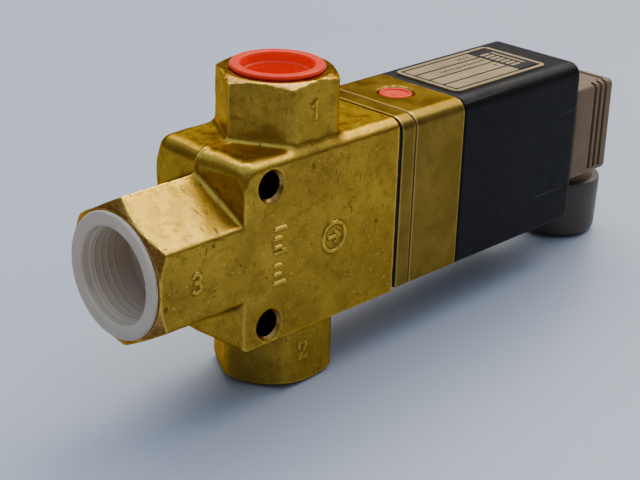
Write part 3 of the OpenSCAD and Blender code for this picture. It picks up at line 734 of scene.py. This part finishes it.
def body_cuts(x, y, z):
    """Every machined space in the body."""
    c = z - AXIS_Z
    from_z = np.hypot(x, y)
    from_x = np.hypot(y, c)
    cuts = [
        port_bore(P_MOUTH - z, from_z, HALF_INCH, HALF_INCH["major"] + 0.7),
        port_bore(z - AB_MOUTH, from_z, HALF_INCH, HALF_INCH["major"] + 0.7),
        port_bore(x - R_MOUTH, from_x, THREE_QUARTER, THREE_QUARTER["major"] + 0.8),
        rod(c, np.hypot(x - PASSAGE_X, y), PASSAGE_R, 6.0, 24.0),
        rod(-c, np.hypot(x + PASSAGE_X, y), PASSAGE_R, 6.0, 24.0),
        rod(x, from_x, R_PASSAGE_R, R_MOUTH + 12, -11.0),
        rod(x, from_x, A_CHAMBER_R, -12.0, -1.0),
        rod(x, from_x, SEAT_R, -2.0, 2.0),
        rod(x, from_x, P_CHAMBER_R, 1.0, 14.0),
        rod(x, from_x, PISTON_BORE_R, 13.0, BODY_HIGH[0] + 2),
    ]
    away = np.abs(y)
    for sign in (-1, 1):
        across = np.hypot(x - HOLE_X, c - sign * HOLE_STEP)
        cuts.append(across - HOLE_R)
        cuts.append((across - HOLE_R - HOLE_BEVEL + (SIDE_Y - away)) * math.sqrt(0.5))
    for screw in screw_distances(y, z):
        cuts.append(rod(x, screw, SCREW_HOLE_R, 15.0, BODY_HIGH[0] + 2))
    nearest = cuts[0]
    for cut in cuts[1:]:
        nearest = np.minimum(nearest, cut)
    return nearest


def body_shape(x, y, z):
    """The finished body: the forging with its hexagon ends turned and its bores cut."""
    c = z - AXIS_Z
    from_z, from_x = np.hypot(x, y), np.hypot(y, c)
    shape = smooth_max(body_cast(x, y, z), nose(x - R_MOUTH, from_x, LARGE_HEX, 2.3), 0.2)
    shape = smooth_max(shape, nose(P_MOUTH - z, from_z, SMALL_HEX, 1.3), 0.2)
    shape = smooth_max(shape, nose(z - AB_MOUTH, from_z, SMALL_HEX, 1.5), 0.2)
    return smooth_max(shape, -body_cuts(x, y, z), 0.2)


body = solid("valve_body_forging", body_shape, BODY_LOW, BODY_HIGH, 0.46)
places = np.array([v.co for v in body.data.vertices]) / MM
store(body, "turned", step(0.12, 0.3, -body_cast(*places.T)))
stand_for(body, "valve_body")

thread_sleeve("thread_p", HALF_INCH, (0, 0, P_MOUTH), (0, 0, 1))
thread_sleeve("thread_ab", HALF_INCH, (0, 0, AB_MOUTH), (0, 0, -1))
thread_sleeve("thread_r", THREE_QUARTER, (R_MOUTH, 0, AXIS_Z), (-1, 0, 0))


# ---------------------------------------------------------------- plates and coil

PILOT_X = mount_mm("pilot_port")[0]


def mid_plate(x, y, z):
    shape = slab(x, y, z, PLATE_LOW, PLATE_HIGH)
    shape = smooth_max(shape, 1.5 - np.hypot(y, z - AXIS_Z), 0.1)
    return cut_screw_holes(shape, y, z)


def cut_screw_holes(shape, y, z):
    """Takes the four cap screws' clearance holes out of a shape."""
    for screw in screw_distances(y, z):
        shape = np.maximum(shape, SCREW_CLEARANCE_R - screw)
    return shape


def pilot_block(x, y, z):
    shape = slab(x, y, z, BLOCK_LOW, BLOCK_HIGH)
    from_port = np.hypot(x - PILOT_X, y)
    down = BLOCK_HIGH[2] - z
    from_x = np.hypot(y, z - AXIS_Z)
    cuts = [
        rod(down, from_port, 4.45, -1.0, 10.0),
        (from_port - 5.05 + down) * math.sqrt(0.5),
        rod(down, from_port, 1.6, 9.0, BLOCK_HIGH[2] - AXIS_Z),
        rod(x, from_x, 3.02, BLOCK_LOW[0] - 1, 41.0),
        rod(x, from_x, 7.1, 40.0, 46.0),
        rod(x, from_x, 10.05, 45.3, BLOCK_HIGH[0] + 1),
        np.maximum(rod(x, from_x, 9.4, 43.9, 46.0), 7.8 - from_x),
    ]
    for screw in screw_distances(y, z):
        cuts.append(rod(x, screw, SCREW_HEAD_R, BLOCK_HIGH[0] - 4.2, BLOCK_HIGH[0] + 1))
    for cut in cuts:
        shape = smooth_max(shape, -cut, 0.12)
    return cut_screw_holes(shape, y, z)


def coil_case(x, y, z):
    """The coil's moulded box, open at the front, with a square window for the terminals behind."""
    shape = slab(x, y, z, COIL_LOW, COIL_HIGH, edge=1.0, under=0.8)
    wall = 2.1
    inner_low = COIL_LOW + [-2, wall, wall]
    inner_high = COIL_HIGH - [3, wall, wall]
    shape = np.maximum(shape, -cuboid(x, y, z, inner_low, inner_high, 1.0))
    base_low, base_high = box_mm("terminal_base")
    gap = 0.1
    return np.maximum(shape, -cuboid(x, y, z, base_low - [30, gap, gap], base_high + [30, gap, gap]))


# The plain slab outlines decide where the painted edge highlights and hollow shade fall on the plates.
stand_for(solid("mid_plate_satin", mid_plate, PLATE_LOW, PLATE_HIGH, 0.5,
                lambda x, y, z: slab(x, y, z, PLATE_LOW, PLATE_HIGH)), "mid_plate")
stand_for(solid("pilot_block_satin", pilot_block, BLOCK_LOW, BLOCK_HIGH, 0.5,
                lambda x, y, z: slab(x, y, z, BLOCK_LOW, BLOCK_HIGH)), "pilot_block")
stand_for(solid("coil_case", coil_case, COIL_LOW, COIL_HIGH, 0.6), "coil_housing")


# ---------------------------------------------------------------- cable plug

PLUG_TOP = box_mm("plug_gasket")[1][2] - 0.2
PLUG_UNDER = box_mm("plug_gasket")[0][2] + 0.2
PLUG_END = box_mm("plug_screw")[1][0] - 0.8
GLAND_X = mount_mm("cable_entry")[0]
GLAND_TOP = GLAND_HIGH[2]
GROOVE_X, GROOVE_STEP, GROOVE_R = 112.0, 2.4, 0.35
PANEL_SINK = 0.5


def plug_case(x, y, z):
    """The plug's cover: a rounded square box with side grooves, a sunk top panel and a neck."""
    half = PLUG_HIGH[1]
    low = np.array([PLUG_LOW[0], -half, PLUG_UNDER])
    high = np.array([PLUG_END, half, PLUG_TOP])
    shape = cuboid(x, y, z, low - [4, 0, 0], high, 1.7)
    shape = smooth_max(shape, low[0] - x, 0.5)
    panel_low = (low[0] + 2.2, -half + 2.4, PLUG_TOP - PANEL_SINK)
    panel_high = (high[0] - 2.4, half - 2.4, PLUG_TOP + 2)
    panel = cuboid(x, y, z, panel_low, panel_high, 0.3)
    shape = smooth_max(shape, -panel, 0.25)
    for i in range(3):
        beside = np.maximum(np.abs(x - GROOVE_X - GROOVE_STEP * i) - 0.25, 0)
        groove = np.hypot(beside, np.maximum(half - 0.55 - np.abs(y), 0)) - GROOVE_R
        groove = np.maximum(groove, PLUG_UNDER + 1.8 - z)
        shape = smooth_max(shape, -groove, 0.2)
        over = np.hypot(beside, np.maximum(PLUG_TOP - 0.45 - z, 0)) - GROOVE_R
        shape = smooth_max(shape, -np.maximum(over, half - 4.5 - np.abs(y)), 0.2)
    across = np.hypot(x - GLAND_X, y)
    neck = rod(z, across, 9.3, GLAND_TOP - 0.2, PLUG_UNDER + 0.5)
    neck = smooth_max(neck, (across - 6.5 - (PLUG_UNDER + 1.2 - z)) * math.sqrt(0.5), 1.2)
    shape = smooth_min(shape, neck, 0.8)
    shape = np.minimum(shape, rod(z, across, 7.5, PLUG_LOW[2], GLAND_TOP + 1))
    wall = 2.0
    inside = cuboid(x, y, z, low + [-6, wall, wall], high - [wall, wall, wall], 0.6)
    from_screw = np.hypot(y, z - (PLUG_UNDER + PLUG_TOP) / 2)
    cuts = [
        inside,
        rod(z, across, 5.0, PLUG_LOW[2] - 1, AXIS_Z - 15),
        rod(z, np.hypot(x - GLAND_X + 3.5, y), 4.0, AXIS_Z - 16, PLUG_UNDER + wall + 1),
        rod(x, from_screw, 1.7, PLUG_END - 3, PLUG_END + 1),
        rod(x, from_screw, 3.2, PLUG_END - 1.2, PLUG_END + 1),
    ]
    for cut in cuts:
        shape = np.maximum(shape, -cut)
    return shape


stand_for(solid("plug_cover", plug_case, PLUG_LOW, PLUG_HIGH, 0.5), "plug_housing")


def seal_frame(x, y, z):
    """The profile seal between coil and plug, with a rounded lip."""
    low, high = box_mm("plug_gasket")
    shape = cuboid(x, y, z, low, high, 0.9)
    hole = cuboid(x, y, z, low + [-2, 2.5, 2.1], high + [2, -2.5, -2.1], 0.5)
    return np.maximum(shape, -hole)


stand_for(solid("plug_seal", seal_frame, *box_mm("plug_gasket"), 0.4), "plug_gasket")

gland_r = (GLAND_HIGH[0] - GLAND_LOW[0]) / 2
gland_h = GLAND_TOP - GLAND_LOW[2]
gland = lathe("gland_nut_cover", [
    (7.65, gland_h, 0.2), (gland_r - 0.1, gland_h, 0.5), (gland_r, gland_h - 1.4, 0.3),
    (gland_r - 0.3, 3.4, 1.5), (gland_r - 0.5, 0.0, 2.2), (5.6, 0.0, 0.5), (5.0, 0.8, 0.2),
    (5.0, 4.1, 0.1), (7.65, 4.1, 0.1)], (GLAND_X, 0, GLAND_LOW[2]), (0, 0, 1))
stand_for(gland, "gland_nut")


# ---------------------------------------------------------------- caps and vent plug

def cup(name, node, radius, flange_r, wall, depth, mouth, direction):
    """A protective cap: a flange with a rolled lip, a stepped throat and a ribbed deep cup."""
    throat = radius - wall
    ribs = []
    rib_foot = throat - 0.55
    for i in range(4):
        down = -2.6 - 1.9 * i
        ribs += [(rib_foot, down + 0.35, 0.1), (throat - 0.7, down, 0.1), (rib_foot, down - 0.35, 0.1)]
    corners = [(0.0, -depth), (radius - 0.5, -depth, 0.5), (radius - 0.06, -depth + 1.2, 0.2),
               (radius, -0.2, 0.1), (radius + 0.1, 0.0, 0.05), (flange_r - 0.3, 0.0, 0.2),
               (flange_r, 0.45, 0.3), (flange_r - 0.35, 1.1, 0.35), (throat + 0.25, 1.1, 0.4),
               (throat, 0.5, 0.3),
               (throat - 0.1, -1.2, 0.15), (throat - 0.5, -1.6, 0.15)]
    corners += ribs + [(throat - 0.6, -depth + 1.0, 0.4), (0.0, -depth + 1.0)]
    return stand_for(lathe(name, corners, mouth, direction), node)


cup("cap_p_red", "p_cap", 9.3, 11.5, 0.55, 12.0, (0, 0, P_MOUTH), (0, 0, 1))
cup("cap_r_milky", "r_cap", 12.05, 15.25, 0.4, 14.0, (R_MOUTH, 0, AXIS_Z), (-1, 0, 0))

vent = lathe("vent_plug_red", [
    (0.0, -8.0), (3.9, -8.0, 0.3), (4.28, -7.4, 0.2), (4.28, -0.5, 0.1), (4.1, -0.08, 0.2), (3.5, -0.08, 0.2),
    (3.25, -0.55, 0.15), (1.0, -0.7, 0.1), (0.75, -0.45, 0.2), (0.0, -0.4)],
    (PILOT_X, 0, BLOCK_HIGH[2]), (0, 0, 1), 96)
stand_for(vent, "pilot_plug")


# ---------------------------------------------------------------- nameplate print

FOIL_LOW, FOIL_HIGH = box_mm("nameplate")


def patches(name, rectangles, height, thickness, material):
    """Thin printed or stamped areas, each a closed slab with a softened top edge."""
    work = bmesh.new()
    for x0, x1, y0, y1 in rectangles:
        inset = min(0.06, (x1 - x0) / 4, (y1 - y0) / 4)
        low = [work.verts.new((x, y, height)) for x, y in ((x0, y0), (x1, y0), (x1, y1), (x0, y1))]
        top_ring = ((x0 + inset, y0 + inset), (x1 - inset, y0 + inset),
                    (x1 - inset, y1 - inset), (x0 + inset, y1 - inset))
        top = [work.verts.new((x, y, height + thickness)) for x, y in top_ring]
        work.faces.new(low[::-1])
        work.faces.new(top)
        for k in range(4):
            m = (k + 1) % 4
            work.faces.new([low[k], low[m], top[m], top[k]])
    for vertex in work.verts:
        vertex.co *= MM
    mesh = bpy.data.meshes.new(name)
    work.to_mesh(mesh)
    work.free()
    piece = bpy.data.objects.new(name, mesh)
    bpy.context.scene.collection.objects.link(piece)
    mesh.materials.append(material)
    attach(piece, "root")
    return piece


def label_print():
    """The nameplate's printing: a frame, three dividing lines, a header block and stand-in marks."""
    x0, x1 = FOIL_LOW[0] + 1.2, FOIL_HIGH[0] - 1.2
    y0, y1 = FOIL_LOW[1] + 1.2, FOIL_HIGH[1] - 1.2
    header = x1 - 8.6
    line = 0.75
    rows = [y0 + (y1 - y0) * k / 4 for k in range(1, 4)]
    black = [(x0, x1, y0, y0 + line), (x0, x1, y1 - line, y1)]
    black += [(x0, x0 + line, y0, y1), (header, x1, y0, y1)]
    black += [(x0, header, y - line / 2, y + line / 2) for y in rows]
    ink = moulded("label_ink", rgb(0.008, 0.006, 0.005), rgb(0.014, 0.011, 0.009), 0.4, 0.55,
                   Specular_IOR_Level=0.12)
    top = FOIL_HIGH[2] - 0.02
    patches("label_frame", black, top, 0.05, ink)
    rng = np.random.default_rng(7)
    stamps = []
    for y, start, count in ((rows[0] + 2.4, 24.5, 6), (rows[1] + 2.4, 8.0, 14), (rows[2] + 2.2, 20.0, 7)):
        place = x0 + start
        for _ in range(count):
            width = rng.uniform(0.5, 1.0)
            tall = rng.uniform(0.9, 1.5)
            shift = rng.uniform(-0.15, 0.15)
            if place + width < header - 1:
                stamps.append((place, place + width, y - tall / 2 + shift, y + tall / 2 + shift))
            place += width + rng.uniform(0.35, 0.8)
    patches("label_stamps", stamps, top, 0.035, ink)
    pale = []
    for k in range(7):
        pale.append((header + 1.6, header + 5.0, y0 + 4.0 + 1.8 * k, y0 + 5.0 + 1.8 * k))
    pale.append((header + 6.2, header + 6.9, y0 + 4.0, y0 + 15.8))
    patches("label_header", pale, top + 0.05, 0.04, MATERIALS["nameplate_foil"])


label_print()


# ---------------------------------------------------------------- floor, light and camera

def tilted_floor():
    """A pale floor that touches the A/B port's rear rim and the gland, which is how it stands."""
    half = 2500.0
    rise = FLOOR_SLOPE * half
    base = -FLOOR_SLOPE * FLOOR_PIVOT_X
    corners = [(-half, -half, base - rise), (half, -half, base + rise)]
    corners += [(half, half, base + rise), (-half, half, base - rise)]
    floor = link_mesh("floor", corners, [[0, 1, 2, 3]])
    s = Shader("pale_floor", Specular_IOR_Level=0.35)
    tint = s.mix(s.ramp(s.noise(6, 3, 0.5), 0.3, 0.7), rgb(0.425, 0.445, 0.485), rgb(0.44, 0.46, 0.50))
    rough = s.ramp(s.noise(300, 4, 0.6), 0.3, 0.7, 0.42, 0.5)
    floor.data.materials.append(s.set(Base_Color=tint, Roughness=rough))


def softbox(name, place, target, size, watts, colour):
    """A rectangular soft light at a place in metres, aimed at a target."""
    data = bpy.data.lights.new(name, "AREA")
    data.shape = "RECTANGLE"
    data.size, data.size_y = size
    data.energy = watts
    data.color = colour
    light = bpy.data.objects.new(name, data)
    light.location = place
    light.rotation_euler = (Vector(target) - Vector(place)).to_track_quat("-Z", "Y").to_euler()
    bpy.context.scene.collection.objects.link(light)


def studio():
    middle = (0.03, 0.0, 0.04)
    softbox("window", (1.30, 0.12, 1.60), middle, (1.7, 1.6), 31, (1.0, 0.92, 0.77))
    softbox("far_window", (0.70, 0.95, 1.75), middle, (1.7, 1.5), 25, (1.0, 0.95, 0.86))
    world = bpy.data.worlds.new("room")
    world.use_nodes = True
    tree = world.node_tree
    direction = tree.nodes.new("ShaderNodeTexCoord").outputs["Generated"]
    height = tree.nodes.new("ShaderNodeSeparateXYZ")
    tree.links.new(direction, height.inputs[0])
    ramp = tree.nodes.new("ShaderNodeValToRGB")
    stops = ramp.color_ramp.elements
    stops[0].position, stops[0].color = 0.0, rgb(0.12, 0.11, 0.10)
    stops[1].position, stops[1].color = 1.0, rgb(0.58, 0.80, 1.15)
    low_sky = stops.new(0.45)
    low_sky.color = rgb(0.20, 0.19, 0.18)
    high_sky = stops.new(0.72)
    high_sky.color = rgb(0.52, 0.70, 1.04)
    tree.links.new(height.outputs["Z"], ramp.inputs["Fac"])
    background = tree.nodes["Background"]
    tree.links.new(ramp.outputs["Color"], background.inputs["Color"])
    background.inputs["Strength"].default_value = 1.38
    bpy.context.scene.world = world


def photo_camera():
    """The camera at the reference viewing angle: azimuth, elevation and roll in degrees."""
    azimuth, elevation, roll = (math.radians(v) for v in (-45.953, 23.421, 1.96))
    back = Vector((math.sin(azimuth) * math.cos(elevation), -math.cos(azimuth) * math.cos(elevation),
                   math.sin(elevation)))
    level = (-back).cross(Vector((0, 0, 1))).normalized()
    upright = level.cross(-back)
    right = math.cos(roll) * level + math.sin(roll) * upright
    up = math.cos(roll) * upright - math.sin(roll) * level
    data = bpy.data.cameras.new("camera")
    data.sensor_width = 36.0
    data.lens = 87.607
    camera = bpy.data.objects.new("camera", data)
    turn = Matrix((right, up, back)).transposed().to_4x4()
    camera.matrix_world = Matrix.Translation((-0.24442, -0.25226, 0.14714 + AXIS_Z * MM)) @ turn
    bpy.context.scene.collection.objects.link(camera)
    bpy.context.scene.camera = camera


tilted_floor()
studio()
photo_camera()
